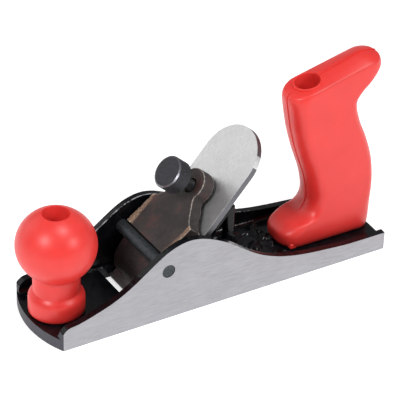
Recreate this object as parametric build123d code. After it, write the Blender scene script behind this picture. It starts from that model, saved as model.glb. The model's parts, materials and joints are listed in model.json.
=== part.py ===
from build123d import *
import math
import os

# Small metal bench plane with moulded plastic grips.
# Millimetres. +X runs from the toe to the heel, +Y to the far cheek, +Z up.
# The origin is on the sole, half way along the straight cheeks.

# --- Body casting ---------------------------------------------------------
CHEEK_LENGTH = 172.0
BODY_WIDTH = 46.0
SOLE_THICKNESS = 5.5
CHEEK_THICKNESS = 3.4
TOE_BOW = 5.6            # how far the curved toe stands ahead of its corners
HEEL_BOW = 1.3
INNER_FILLET = 2.5
TOE_CORNER_RADIUS = 5.5
TOE_X = -CHEEK_LENGTH / 2
HEEL_X = CHEEK_LENGTH / 2
HALF_WIDTH = BODY_WIDTH / 2
HALF_CHANNEL = HALF_WIDTH - CHEEK_THICKNESS
# Top edge of each cheek: distance back from the toe corner, and height.
CHEEK_TOP = [
    (4.7, 11.5), (13.2, 13.5), (25.2, 17.8), (37.2, 24.9), (46.2, 31.5), (55.0, 36.6),
    (64.4, 38.3), (73.8, 35.9), (86.8, 28.7), (100.1, 19.6), (110.2, 15.1),
    (123.7, 11.8), (144.0, 9.6), (172.0, 9.0),
]
CHEEK_PEAK = 38.3

# --- Bed, mouth and blade -------------------------------------------------
BED_ANGLE = 49.0
FACE_X = TOE_X + 44.3    # where the plane of the blade's front face meets the sole
IRON_WIDTH = 34.4
IRON_THICKNESS = 3.0
IRON_LENGTH = 94.2
IRON_SET_BACK = 1.3      # the edge is drawn back this far from the sole, along the bed
BEVEL_ANGLE = 25.0
BED_CLEARANCE = 0.1
BED_PLATE = 4.5
BED_HALF_WIDTH = 14.0
BED_TOP = 61.4           # length of the bed up the slope
POST_X = TOE_X + 87.9
POST_THICKNESS = 4.6
POST_WIDTH = 4.4
MOUTH_HALF_WIDTH = 18.0
MOUTH_FRONT_TOP = TOE_X + 39.5
MOUTH_FRONT_SOLE = TOE_X + 41.5

# --- Lever cap, pin and thumbscrew (along the bed, and out from the blade) --
PIN_X = TOE_X + 52.6
PIN_Z = 25.4
PIN_RADIUS = 3.2
PIN_FIT = 0.02
CAP_HALF_WIDTH = 16.8
CAP_RUNNING_CLEARANCE = 0.08
CAP_NOSE = 6.0
CAP_SHOULDER = 45.0
CAP_NECK_HALF_WIDTH = 6.9
CAP_HEAD_CENTRE = 60.3
CAP_HEAD_RADIUS = 7.8
CAP_TOP = 9.3
CAP_UNDERSIDE = 2.4
CAP_HUMP = 12.9
CAP_RAIL = 3.2           # width of the raised strip along each side, at the hump
CAP_RECESS = 0.9         # depth of the panel between the strips
SCREW_ALONG = 59.5
SCREW_HEAD_RADIUS = 7.8
SCREW_HEAD_FROM = 17.6
SCREW_HEAD_TO = 25.5
SCREW_STUD_RADIUS = 2.95
SCREW_HOLE_RADIUS = 3.5
SCREW_TIP_GAP = 0.1

# --- Front knob -----------------------------------------------------------
KNOB_X = TOE_X + 8.5
KNOB_BALL_RADIUS = 18.3
KNOB_BALL_HALF_HEIGHT = 17.3
KNOB_BALL_Z = 40.0
KNOB_NECK_RADIUS = 10.7
KNOB_BASE_RADIUS = 12.95
KNOB_WELL_RADIUS = 6.1
KNOB_RIM_RADIUS = 6.5
KNOB_WELL_FLOOR = 36.0

# --- Rear handle ----------------------------------------------------------
HANDLE_SCREW_LEAN = 14.0         # the screw leans back towards the heel as it goes down
HANDLE_TOP_X = TOE_X + 137.4
HANDLE_TOP_Z = 88.3
HANDLE_WELL_RADIUS = 6.0
HANDLE_WELL_FLOOR = 65.0         # height of the floor of the well, above the sole
HANDLE_EDGE_SHARE = 0.36         # corner radius of each slice, as a share of its width
# Slices of the grip, foot to top: front point, back point (both as distance back from
# the toe corner, and height), and width.
HANDLE_SLICES = [
    ((126.0, SOLE_THICKNESS), (173.4, SOLE_THICKNESS), 20.8),
    ((123.8, 9.0), (174.2, 9.0), 22.8),
    ((124.2, 12.8), (174.6, 14.0), 22.4),
    ((128.8, 16.2), (174.8, 19.5), 21.4),
    ((135.8, 18.4), (175.0, 23.5), 20.6),
    ((139.6, 22.4), (175.1, 28.5), 20.0),
    ((140.7, 28.5), (174.8, 34.5), 19.6),
    ((138.2, 39.8), (173.4, 43.5), 19.2),
    ((133.4, 52.5), (169.9, 54.0), 19.0),
    ((129.8, 64.5), (165.4, 64.0), 18.8),
    ((127.6, 75.0), (162.8, 74.0), 18.6),
    ((126.8, 80.0), (164.6, 80.5), 18.6),
    ((126.9, 82.6), (169.6, 85.6), 18.6),
    ((127.9, 84.6), (174.8, 90.2), 18.4),
    ((130.6, 86.6), (174.4, 93.8), 17.0),
    ((137.0, 89.4), (169.5, 96.6), 10.0),
]

# --- Fastenings -----------------------------------------------------------
M6_RADIUS = 2.95
M6_HOLE_RADIUS = 3.0
M6_CLEARANCE_RADIUS = 3.3
TAPPED_FLOOR = 1.6
BOSS_RADIUS = 7.0
BOSS_HEIGHT = 3.0
BOSS_RECESS = 0.3
HEAD_RADIUS = 5.3
HEAD_HEIGHT = 4.0
SLOT_WIDTH = 1.4
SLOT_DEPTH = 2.0
WASHER_THICKNESS = 1.0
WASHER_RADIUS = 5.8

FAR = 200.0              # further than any piece reaches, for cutting blocks

ANGLE = math.radians(BED_ANGLE)
BED = Plane(
    origin=(FACE_X, 0, 0),
    x_dir=(math.cos(ANGLE), 0, math.sin(ANGLE)),
    z_dir=(-math.sin(ANGLE), 0, math.cos(ANGLE)),
)
LEAN = math.radians(HANDLE_SCREW_LEAN)
HANDLE_AXIS = Plane(
    origin=(HANDLE_TOP_X, 0, HANDLE_TOP_Z),
    x_dir=(math.cos(LEAN), 0, math.sin(LEAN)),
    z_dir=(-math.sin(LEAN), 0, math.cos(LEAN)),
)


def on_bed(shape):
    """Place a shape drawn with X up the blade and Z out of its front face."""
    return BED.location * shape


def bed_point(x, z):
    """A point of the side view, as distance up the bed and distance out from the blade."""
    along = (x - FACE_X) * math.cos(ANGLE) + z * math.sin(ANGLE)
    out = -(x - FACE_X) * math.sin(ANGLE) + z * math.cos(ANGLE)
    return along, out


def side_prism(outline, half_width):
    """A side-view outline thickened equally to both sides of the middle plane."""
    side = Plane.XZ.offset(-half_width)
    return extrude(side * make_face(outline), amount=2 * half_width)


def rod(radius, low, high):
    """A cylinder on the Z axis between two heights."""
    return Pos(0, 0, low) * Cylinder(
        radius, high - low, align=(Align.CENTER, Align.CENTER, Align.MIN)
    )


def slot_cut(top):
    """The screwdriver slot across a screw head whose top is at this height."""
    return Pos(0, 0, top) * Box(4 * HEAD_RADIUS, SLOT_WIDTH, 2 * SLOT_DEPTH)


def plan_prism(height):
    """The outline of the sole seen from above, as a tall block."""
    toe = ThreePointArc(
        (TOE_X, -HALF_WIDTH), (TOE_X - TOE_BOW, 0), (TOE_X, HALF_WIDTH)
    )
    far = Line((TOE_X, HALF_WIDTH), (HEEL_X, HALF_WIDTH))
    heel = ThreePointArc(
        (HEEL_X, HALF_WIDTH), (HEEL_X + HEEL_BOW, 0), (HEEL_X, -HALF_WIDTH)
    )
    near = Line((HEEL_X, -HALF_WIDTH), (TOE_X, -HALF_WIDTH))
    return extrude(make_face(toe + far + heel + near), amount=height)


def cheek_outline():
    """Side view of a cheek: rounded toe corner, hump over the mouth, long low tail."""
    points = [(TOE_X + back, height) for back, height in CHEEK_TOP]
    front = points[0][0] - TOE_CORNER_RADIUS
    corner_z = points[0][1] - TOE_CORNER_RADIUS
    bulge = TOE_CORNER_RADIUS * (1 - math.sqrt(0.5))
    behind = HEEL_X + 2 * HEEL_BOW
    return (
        Line((front, 0), (front, corner_z))
        + ThreePointArc(
            (front, corner_z), (front + bulge, points[0][1] - bulge), points[0]
        )
        + Spline(*points, tangents=[(1, 0.1), (1, 0)])
        + Line(points[-1], (behind, points[-1][1]))
        + Line((behind, points[-1][1]), (behind, 0))
        + Line((behind, 0), (front, 0))
    )


def casting_shell():
    """Sole and two cheeks: a block of the side outline with its channel cut out."""
    block = side_prism(cheek_outline(), HALF_WIDTH) & plan_prism(2 * CHEEK_PEAK)
    channel = Pos(0, 0, SOLE_THICKNESS) * Box(
        2 * CHEEK_LENGTH, 2 * HALF_CHANNEL, 2 * CHEEK_PEAK,
        align=(Align.CENTER, Align.CENTER, Align.MIN),
    )
    floor_edges = channel.edges().filter_by(Axis.X).group_by(Axis.Z)[0]
    return block - fillet(floor_edges, INNER_FILLET) + plan_prism(SOLE_THICKNESS)


def bed_ramp():
    """The sloping bed behind the mouth, with the two posts that carry its top."""
    surface = -IRON_THICKNESS - BED_CLEARANCE
    underside = surface - BED_PLATE
    foot = -underside / math.tan(ANGLE)
    plate = on_bed(
        side_prism(
            Polyline(
                (3, surface), (BED_TOP, surface), (BED_TOP, underside),
                (foot - 6, underside), close=True,
            ),
            BED_HALF_WIDTH,
        )
    )
    post_top = (BED_TOP - 1.0) * math.sin(ANGLE) + underside * math.cos(ANGLE) + 2
    posts = Part()
    for side in (-1, 1):
        post = Pos(
            POST_X + POST_THICKNESS / 2, side * (BED_HALF_WIDTH - POST_WIDTH / 2), 0
        ) * Box(
            POST_THICKNESS, POST_WIDTH, post_top,
            align=(Align.CENTER, Align.CENTER, Align.MIN),
        )
        posts += fillet(post.edges().filter_by(Axis.Z), 1.2)
    below_bed = on_bed(
        Pos(0, 0, surface) * Box(
            2 * FAR, FAR, FAR, align=(Align.CENTER, Align.CENTER, Align.MAX)
        )
    )
    above_sole = Pos(0, 0, 1) * Box(
        2 * FAR, FAR, FAR, align=(Align.CENTER, Align.CENTER, Align.MIN)
    )
    return (plate + posts) & below_bed & above_sole


def mouth_cut():
    """The slot through the sole: a sloping front wall and a rear wall along the bed."""
    surface = -IRON_THICKNESS - BED_CLEARANCE
    low = -2.0
    high = SOLE_THICKNESS + 6.0
    rear_foot = FACE_X - surface / math.sin(ANGLE)
    lean = (MOUTH_FRONT_TOP - MOUTH_FRONT_SOLE) / SOLE_THICKNESS
    outline = Polyline(
        (MOUTH_FRONT_SOLE + lean * low, low),
        (MOUTH_FRONT_TOP, SOLE_THICKNESS),
        (MOUTH_FRONT_TOP, high),
        (rear_foot + high / math.tan(ANGLE), high),
        (rear_foot + low / math.tan(ANGLE), low),
        close=True,
    )
    return side_prism(outline, MOUTH_HALF_WIDTH)


def plane_body():
    body = casting_shell() + bed_ramp()
    boss_top = SOLE_THICKNESS + BOSS_HEIGHT
    knob_boss = Pos(KNOB_X, 0, 0) * rod(BOSS_RADIUS, 1, boss_top)
    handle_drop = (HANDLE_TOP_Z - boss_top) / math.cos(LEAN)
    handle_boss = HANDLE_AXIS.location * rod(BOSS_RADIUS, -handle_drop - 4, -handle_drop)
    body += knob_boss + handle_boss
    body -= mouth_cut()
    body -= Pos(KNOB_X, 0, 0) * rod(M6_HOLE_RADIUS, TAPPED_FLOOR, boss_top + 5)
    tapped_drop = (HANDLE_TOP_Z - TAPPED_FLOOR - 1) / math.cos(LEAN)
    body -= HANDLE_AXIS.location * rod(M6_HOLE_RADIUS, -tapped_drop, -handle_drop + 5)
    pin_hole = Pos(PIN_X, 0, PIN_Z) * Rot(90, 0, 0) * Cylinder(
        PIN_RADIUS + PIN_FIT, 2 * BODY_WIDTH
    )
    return body - pin_hole


def cutting_iron():
    """A flat blade with a round top, a square edge and its bevel on the bed side."""
    straight_top = IRON_SET_BACK + IRON_LENGTH - IRON_WIDTH / 2
    half = IRON_WIDTH / 2
    outline = (
        Line((IRON_SET_BACK, -half), (straight_top, -half))
        + ThreePointArc(
            (straight_top, -half), (straight_top + half, 0), (straight_top, half)
        )
        + Line((straight_top, half), (IRON_SET_BACK, half))
        + Line((IRON_SET_BACK, half), (IRON_SET_BACK, -half))
    )
    blank = extrude(make_face(outline), amount=-IRON_THICKNESS)
    bevel_length = IRON_THICKNESS / math.tan(math.radians(BEVEL_ANGLE))
    edge_land = 0.15
    bevel = side_prism(
        Polyline(
            (IRON_SET_BACK - 1, -edge_land),
            (IRON_SET_BACK, -edge_land),
            (IRON_SET_BACK + bevel_length, -IRON_THICKNESS),
            (IRON_SET_BACK + bevel_length, -2 * IRON_THICKNESS),
            (IRON_SET_BACK - 1, -2 * IRON_THICKNESS),
            close=True,
        ),
        IRON_WIDTH,
    )
    return on_bed(blank - bevel)


def cap_plan():
    """The lever cap seen square to the blade: wide tongue, drawn in to a round head."""
    half = CAP_HALF_WIDTH
    neck = CAP_NECK_HALF_WIDTH
    reach = math.sqrt(CAP_HEAD_RADIUS**2 - neck**2)
    head_foot = CAP_HEAD_CENTRE - reach
    edges = Line((CAP_NOSE - 2, -half), (CAP_SHOULDER, -half))
    edges += Spline(
        (CAP_SHOULDER, -half), (49.4, -11.4), (53.4, -8.5), (head_foot, -neck),
        tangents=[(0.3, 1), (1, 0.1)],
    )
    edges += ThreePointArc(
        (head_foot, -neck), (CAP_HEAD_CENTRE + CAP_HEAD_RADIUS, 0), (head_foot, neck)
    )
    edges += Spline(
        (head_foot, neck), (53.4, 8.5), (49.4, 11.4), (CAP_SHOULDER, half),
        tangents=[(-1, 0.1), (-0.3, 1)],
    )
    edges += Line((CAP_SHOULDER, half), (CAP_NOSE - 2, half))
    edges += Line((CAP_NOSE - 2, half), (CAP_NOSE - 2, -half))
    return extrude(make_face(edges), amount=2 * CAP_HUMP)


def cap_side():
    """The side view: nose on the blade, seat for the pin, hump, then a flat arm."""
    pin_along, pin_out = bed_point(PIN_X, PIN_Z)
    outline = (
        Line((CAP_NOSE, 0.1), (CAP_NOSE + 3, 0.1))
        + Line((CAP_NOSE + 3, 0.1), (CAP_NOSE + 7, CAP_UNDERSIDE))
        + Line((CAP_NOSE + 7, CAP_UNDERSIDE), (90, CAP_UNDERSIDE))
        + Line((90, CAP_UNDERSIDE), (90, CAP_TOP))
        + Line((90, CAP_TOP), (CAP_SHOULDER, CAP_TOP))
        + Spline(
            (CAP_SHOULDER, CAP_TOP), (36.5, 11.0), (pin_along + 3.9, CAP_HUMP),
            tangents=[(-1, 0.1), (-1, 0.2)],
        )
        + Line((pin_along + 3.9, CAP_HUMP), (pin_along + 3.4, pin_out))
        + Line((pin_along + 3.4, pin_out), (pin_along - 4.6, 8.0))
        + Spline(
            (pin_along - 4.6, 8.0), (13.5, 7.2), (8.6, 4.4), (CAP_NOSE, 0.1),
            tangents=[(-1, 0), (-0.35, -1)],
        )
    )
    return side_prism(outline, CAP_HALF_WIDTH + 5)


def cap_panel():
    """The sunk panel on the hump, which leaves a raised strip along each side."""
    pin_along = bed_point(PIN_X, PIN_Z)[0]
    start = pin_along + 2
    half = CAP_HALF_WIDTH - CAP_RAIL
    plan = Polyline(
        (start, -half), (CAP_SHOULDER, -CAP_HALF_WIDTH), (CAP_SHOULDER, CAP_HALF_WIDTH),
        (start, half), close=True,
    )
    floor = (
        Line((start, CAP_HUMP - CAP_RECESS), (pin_along + 3.9, CAP_HUMP - CAP_RECESS))
        + Spline(
            (pin_along + 3.9, CAP_HUMP - CAP_RECESS), (36.5, 10.4),
            (CAP_SHOULDER, CAP_TOP), tangents=[(1, -0.2), (1, -0.05)],
        )
        + Line((CAP_SHOULDER, CAP_TOP), (CAP_SHOULDER, 2 * CAP_HUMP))
        + Line((CAP_SHOULDER, 2 * CAP_HUMP), (start, 2 * CAP_HUMP))
        + Line((start, 2 * CAP_HUMP), (start, CAP_HUMP - CAP_RECESS))
    )
    return extrude(make_face(plan), amount=2 * CAP_HUMP) & side_prism(floor, HALF_WIDTH)


def lever_cap():
    pin_along, pin_out = bed_point(PIN_X, PIN_Z)
    cap = cap_plan() & cap_side()
    seat = Pos(pin_along, 0, pin_out) * Rot(90, 0, 0) * Cylinder(
        PIN_RADIUS + CAP_RUNNING_CLEARANCE, 2 * BODY_WIDTH
    )
    cap -= seat
    cap -= cap_panel()
    cap -= Pos(SCREW_ALONG, 0, 0) * rod(SCREW_HOLE_RADIUS, -1, 2 * CAP_TOP)
    return on_bed(cap)


def thumbscrew():
    head = rod(SCREW_HEAD_RADIUS, SCREW_HEAD_FROM, SCREW_HEAD_TO)
    head = chamfer(head.edges().filter_by(GeomType.CIRCLE), 0.6)
    stud = rod(SCREW_STUD_RADIUS, SCREW_TIP_GAP, SCREW_HEAD_FROM + 1)
    tip = stud.edges().filter_by(GeomType.CIRCLE).sort_by(Axis.Z)[0]
    return on_bed(Pos(SCREW_ALONG, 0, 0) * (head + chamfer(tip, 0.8)))


def cross_pin():
    pin = Cylinder(PIN_RADIUS, BODY_WIDTH - 0.4)
    pin = chamfer(pin.edges().filter_by(GeomType.CIRCLE), 0.3)
    return Pos(PIN_X, 0, PIN_Z) * Rot(90, 0, 0) * pin


def front_knob():
    """A turned ball on a short neck and a rounded foot, with a deep screw well."""
    neck_angle = math.acos(KNOB_NECK_RADIUS / KNOB_BALL_RADIUS)
    rim_angle = math.acos(KNOB_RIM_RADIUS / KNOB_BALL_RADIUS)
    neck_top = KNOB_BALL_Z - KNOB_BALL_HALF_HEIGHT * math.sin(neck_angle)
    rim_z = KNOB_BALL_Z + KNOB_BALL_HALF_HEIGHT * math.sin(rim_angle)
    steps = 8
    angles = [-neck_angle + i * (neck_angle + rim_angle) / steps for i in range(steps + 1)]
    ball = [
        (KNOB_BALL_RADIUS * math.cos(a), KNOB_BALL_Z + KNOB_BALL_HALF_HEIGHT * math.sin(a))
        for a in angles
    ]
    foot = SOLE_THICKNESS
    shoulder = foot + 7.5
    neck_foot = 17.0
    outline = (
        Line((0, foot), (KNOB_BASE_RADIUS - 2, foot))
        + ThreePointArc(
            (KNOB_BASE_RADIUS - 2, foot),
            (KNOB_BASE_RADIUS - 0.6, foot + 0.6),
            (KNOB_BASE_RADIUS, foot + 2),
        )
        + Line((KNOB_BASE_RADIUS, foot + 2), (KNOB_BASE_RADIUS, shoulder))
        + Spline(
            (KNOB_BASE_RADIUS, shoulder), (KNOB_NECK_RADIUS, neck_foot),
            tangents=[(0, 1), (0, 1)],
        )
        + Line((KNOB_NECK_RADIUS, neck_foot), (KNOB_NECK_RADIUS, neck_top))
        + Spline(*ball)
        + Line((KNOB_RIM_RADIUS, rim_z), (0, rim_z))
        + Line((0, rim_z), (0, foot))
    )
    knob = revolve(Plane.XZ * make_face(outline), Axis.Z)
    neck_edges = [
        edge
        for edge in knob.edges().filter_by(GeomType.CIRCLE)
        if abs(edge.center().Z - neck_top) < 0.1
    ]
    knob = fillet(neck_edges, 1.5)
    knob -= rod(KNOB_WELL_RADIUS, KNOB_WELL_FLOOR, 2 * KNOB_BALL_Z)
    knob -= rod(M6_CLEARANCE_RADIUS, 0, KNOB_WELL_FLOOR + 1)
    knob -= rod(BOSS_RADIUS + BOSS_RECESS, 0, foot + BOSS_HEIGHT + BOSS_RECESS)
    return Pos(KNOB_X, 0, 0) * knob


def screw(floor, tip):
    """A slotted cheese-head screw whose head rests on a washer on this floor."""
    seat = floor + WASHER_THICKNESS
    head = rod(HEAD_RADIUS, seat, seat + HEAD_HEIGHT)
    rim = head.edges().filter_by(GeomType.CIRCLE).sort_by(Axis.Z)[-1]
    return chamfer(rim, 0.6) + rod(M6_RADIUS, tip, seat + 1) - slot_cut(seat + HEAD_HEIGHT)


def washer(floor):
    return rod(WASHER_RADIUS, floor, floor + WASHER_THICKNESS) - rod(
        M6_CLEARANCE_RADIUS, floor - 1, floor + WASHER_THICKNESS + 1
    )


def handle_section(front, rear, width):
    """A rounded slice of the handle from a point on its front to one on its back."""
    reach = Vector(rear[0] - front[0], 0, rear[1] - front[1])
    middle = Vector(TOE_X + (front[0] + rear[0]) / 2, 0, (front[1] + rear[1]) / 2)
    plane = Plane(origin=middle, x_dir=reach, z_dir=reach.cross(Vector(0, 1, 0)))
    return plane * RectangleRounded(reach.length, width, HANDLE_EDGE_SHARE * width)


def rear_handle():
    """A pistol grip lofted through slices that tilt up to meet its raking top."""
    grip = loft([handle_section(*slice_sizes) for slice_sizes in HANDLE_SLICES])
    well_drop = (HANDLE_TOP_Z - HANDLE_WELL_FLOOR) / math.cos(LEAN)
    foot_drop = (HANDLE_TOP_Z - SOLE_THICKNESS) / math.cos(LEAN)
    boss_drop = (HANDLE_TOP_Z - SOLE_THICKNESS - BOSS_HEIGHT) / math.cos(LEAN)
    wells = (
        rod(HANDLE_WELL_RADIUS, -well_drop, 20)
        + rod(M6_CLEARANCE_RADIUS, -foot_drop - 5, -well_drop + 1)
        + rod(BOSS_RADIUS + BOSS_RECESS, -foot_drop - 5, -boss_drop + BOSS_RECESS)
    )
    return grip - HANDLE_AXIS.location * wells


def handle_fastening(make):
    """Place a screw or washer made by height onto the leaning axis of the handle."""
    return HANDLE_AXIS.location * make


def write(name, shape):
    export_step(shape, f"parts/{name}.step")


os.makedirs("parts", exist_ok=True)
handle_floor = -(HANDLE_TOP_Z - HANDLE_WELL_FLOOR) / math.cos(LEAN)
handle_tip = -(HANDLE_TOP_Z - TAPPED_FLOOR - 1.5) / math.cos(LEAN)

write("plane_body", plane_body())
write("cutting_iron", cutting_iron())
write("lever_cap", lever_cap())
write("thumbscrew", thumbscrew())
write("cross_pin", cross_pin())
write("front_knob", front_knob())
write("knob_screw", Pos(KNOB_X, 0, 0) * screw(KNOB_WELL_FLOOR, TAPPED_FLOOR + 0.3))
write("knob_washer", Pos(KNOB_X, 0, 0) * washer(KNOB_WELL_FLOOR))
write("rear_handle", rear_handle())
write("handle_screw", handle_fastening(screw(handle_floor, handle_tip)))
write("handle_washer", handle_fastening(washer(handle_floor)))
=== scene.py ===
# %% [markdown]
# # A small metal bench plane
# The object is a bench plane about seven inches long: a cast channel with ground sides, a steel
# blade on a sloping bed, a rough cast lever cap that pivots on a pin, a black thumbscrew, and a
# red moulded knob and grip. The engineering model gives every piece its place and size, so this
# file starts by loading it, and each visible piece is then made or finished around it.

# %% Load the frame
import bmesh
import bpy
import json
import math
from mathutils import Matrix, Vector


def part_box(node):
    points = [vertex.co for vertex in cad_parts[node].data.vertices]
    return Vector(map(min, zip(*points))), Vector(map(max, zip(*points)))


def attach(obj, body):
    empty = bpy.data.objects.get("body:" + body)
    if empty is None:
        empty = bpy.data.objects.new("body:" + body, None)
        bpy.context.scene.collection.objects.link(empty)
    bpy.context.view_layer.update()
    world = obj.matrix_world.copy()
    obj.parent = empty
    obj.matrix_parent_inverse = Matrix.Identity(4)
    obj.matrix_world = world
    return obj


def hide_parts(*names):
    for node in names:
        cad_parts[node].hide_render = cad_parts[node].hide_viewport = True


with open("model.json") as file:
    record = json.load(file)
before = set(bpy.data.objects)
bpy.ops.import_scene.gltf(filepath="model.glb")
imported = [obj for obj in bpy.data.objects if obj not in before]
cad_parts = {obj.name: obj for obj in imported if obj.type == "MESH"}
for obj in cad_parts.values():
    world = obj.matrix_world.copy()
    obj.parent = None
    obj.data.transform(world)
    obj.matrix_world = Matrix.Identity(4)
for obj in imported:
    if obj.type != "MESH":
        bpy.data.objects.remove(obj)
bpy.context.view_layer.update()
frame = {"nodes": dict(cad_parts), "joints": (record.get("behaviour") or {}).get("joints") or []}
NODES = frame["nodes"]
MM = 0.001
print("nodes:", sorted(NODES))

# %% [markdown]
# Only a few places are needed again and again: the middle of the knob, the slope of the blade's
# bed, and the sole. They are read from the frame, so a change to the model moves everything.

# %% Places taken from the frame
knob_low, knob_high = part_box("front_knob")
grip_low, grip_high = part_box("rear_handle")
body_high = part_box("plane_body")[1]
pin_low, pin_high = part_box("cross_pin")
slide = next(j for j in frame["joints"] if j["name"] == "blade_slide")
turn = next(j for j in frame["joints"] if j["name"] == "thumbscrew_turn")
UP_BED = Vector(slide["axis"]).normalized()
OUT_OF_BED = Vector(turn["axis"]).normalized()
SCREW_FOOT = Vector(turn["pos_m"])
PIN_CENTRE = (pin_low + pin_high) / 2
KNOB_X = (knob_low.x + knob_high.x) / 2
SOLE_TOP = knob_low.z
HALF_WIDTH = body_high.y
BED_ANGLE = math.atan2(UP_BED.z, UP_BED.x)
print(f"bed at {math.degrees(BED_ANGLE):.1f} degrees, sole {SOLE_TOP / MM:.1f} mm thick")


def bed_matrix(foot):
    """Stands a piece that was made upright on the blade, at this point of its face."""
    side = Vector((0, 1, 0))
    turned = Matrix((UP_BED, side, OUT_OF_BED)).transposed()
    return Matrix.Translation(foot) @ turned.to_4x4()


# %% [markdown]
# ## Working by hand, in code
# Every new piece starts as a primitive and is shaped in edit mode, as it would be with the mouse.
# An operator acts on whatever is selected, so these helpers clear the selection first and then
# pick vertices, edges or faces by where they are. A finished piece sits at the origin with its
# place in its mesh, like the nodes of the engineering model.

# %% Selection helpers
SAME_PLACE = 0.002 * MM   # vertices closer than this are one
OPEN_GAP = 0.02 * MM      # and the edges of a gap narrower than this are joined
CUT_WITHIN = 0.001 * MM   # a cut makes new vertices unless one is this close
FLAT_WITHIN = 0.6         # degrees between faces that count as one flat face
bpy.ops.object.select_all(action="DESELECT")


def only(piece):
    """Makes this the one selected, active object."""
    if bpy.context.mode != "OBJECT":
        bpy.ops.object.mode_set(mode="OBJECT")
    bpy.ops.object.select_all(action="DESELECT")
    piece.select_set(True)
    bpy.context.view_layer.objects.active = piece


def start_edit(piece, kind):
    """Enters edit mode with nothing selected, picking VERT, EDGE or FACE."""
    only(piece)
    bpy.ops.object.mode_set(mode="EDIT")
    bpy.ops.mesh.select_mode(type=kind)
    bpy.ops.mesh.select_all(action="DESELECT")


def pick_vertices(piece, wanted):
    """Selects the vertices whose place passes the test, and returns how many."""
    shape = bmesh.from_edit_mesh(piece.data)
    for vertex in shape.verts:
        vertex.select_set(wanted(vertex.co))
    shape.select_flush(True)
    bmesh.update_edit_mesh(piece.data)
    return sum(vertex.select for vertex in shape.verts)


def pick_faces(piece, wanted):
    """Selects the faces whose middle and normal pass the test, and returns how many."""
    shape = bmesh.from_edit_mesh(piece.data)
    for face in shape.faces:
        face.select_set(wanted(face.calc_center_median(), face.normal))
    bmesh.update_edit_mesh(piece.data)
    return sum(face.select for face in shape.faces)


def pick_edges(piece, wanted):
    """Selects the edges that pass the test, and returns how many."""
    shape = bmesh.from_edit_mesh(piece.data)
    for edge in shape.edges:
        edge.select_set(wanted(edge))
    bmesh.update_edit_mesh(piece.data)
    return sum(edge.select for edge in shape.edges)


def end_edit():
    bpy.ops.object.mode_set(mode="OBJECT")


# %% Shaping and placing helpers
def pull(distance):
    """Extrudes the selection by this vector."""
    bpy.ops.mesh.extrude_region_move(TRANSFORM_OT_translate={"value": tuple(distance)})


def named(name):
    """Names the primitive that was just added and leaves its place in its mesh."""
    piece = bpy.context.object
    piece.name = name
    piece.data.name = name
    only(piece)
    bpy.ops.object.transform_apply(location=True, rotation=True, scale=True)
    return piece


def apply_modifier(piece, kind, **settings):
    """Adds a modifier with these settings and applies it."""
    only(piece)
    modifier = piece.modifiers.new(kind.title(), kind)
    for key, value in settings.items():
        setattr(modifier, key, value)
    bpy.ops.object.modifier_apply(modifier=modifier.name)


def place(piece, matrix):
    """Moves a finished piece and leaves its place in its mesh."""
    only(piece)
    piece.matrix_world = matrix @ piece.matrix_world
    bpy.ops.object.transform_apply(location=True, rotation=True, scale=True)


# %% Finishing helpers
def closed_and_smooth(piece, sharp_degrees=35):
    """Merges doubles, closes gaps, turns faces outwards and smooths all but real corners."""
    start_edit(piece, "VERT")
    bpy.ops.mesh.select_all(action="SELECT")
    bpy.ops.mesh.remove_doubles(threshold=SAME_PLACE)
    bpy.ops.mesh.select_all(action="DESELECT")
    bpy.ops.mesh.select_non_manifold()
    bpy.ops.mesh.remove_doubles(threshold=OPEN_GAP)
    bpy.ops.mesh.select_all(action="SELECT")
    bpy.ops.mesh.normals_make_consistent(inside=False)
    end_edit()
    bpy.ops.object.shade_smooth_by_angle(angle=math.radians(sharp_degrees))


# %% Helpers for copies of engineering nodes
def merged_copy(node, name):
    """A copy of an engineering node with its loose triangles merged into a solid skin."""
    piece = bpy.data.objects.new(name, NODES[node].data.copy())
    bpy.context.scene.collection.objects.link(piece)
    piece.data.name = name
    piece.data.materials.clear()
    start_edit(piece, "VERT")
    bpy.ops.mesh.select_all(action="SELECT")
    bpy.ops.mesh.remove_doubles(threshold=SAME_PLACE)
    bpy.ops.mesh.customdata_custom_splitnormals_clear()
    end_edit()
    return piece


def eased_copy(node, name, width, segments, from_degrees):
    """A merged copy with its flat areas as single faces and its corners bevelled. The bevel
    is clamped, so it is narrower than asked wherever the skin has very short edges."""
    piece = merged_copy(node, name)
    start_edit(piece, "FACE")
    bpy.ops.mesh.select_all(action="SELECT")
    bpy.ops.mesh.dissolve_limited(angle_limit=math.radians(FLAT_WITHIN))
    end_edit()
    apply_modifier(
        piece, "BEVEL", width=width * MM, segments=segments, limit_method="ANGLE",
        angle_limit=math.radians(from_degrees), use_clamp_overlap=True,
    )
    closed_and_smooth(piece, 40)
    return piece


# %% Finish and body helpers
def finish_faces(piece, material, wanted):
    """Adds a material and gives it to the faces that pass the test, in edit mode."""
    piece.data.materials.append(material)
    piece.active_material_index = len(piece.data.materials) - 1
    print(f"{material.name}: {pick_faces(piece, wanted)} faces")
    bpy.ops.object.material_slot_assign()


def hand_over(piece, body, slot, material, *nodes):
    """Gives a finished piece its material if it has none, puts it on its body and hides the nodes it
    stands for. The slot is not used.
    """
    if not piece.data.materials:
        piece.data.materials.append(material)
    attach(piece, body)
    if nodes:
        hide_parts(*nodes)
    print(f"{piece.name}: {len(piece.data.polygons)} faces")


# %% [markdown]
# ## Camera, light and floor
# The plane is seen from the toe, above its near side, with a long lens. The light is a pale
# studio: a white floor and sky, three soft boxes over the near side and the toe, which leave
# their marks on the knob, and a large weak card beyond the far side.

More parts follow.
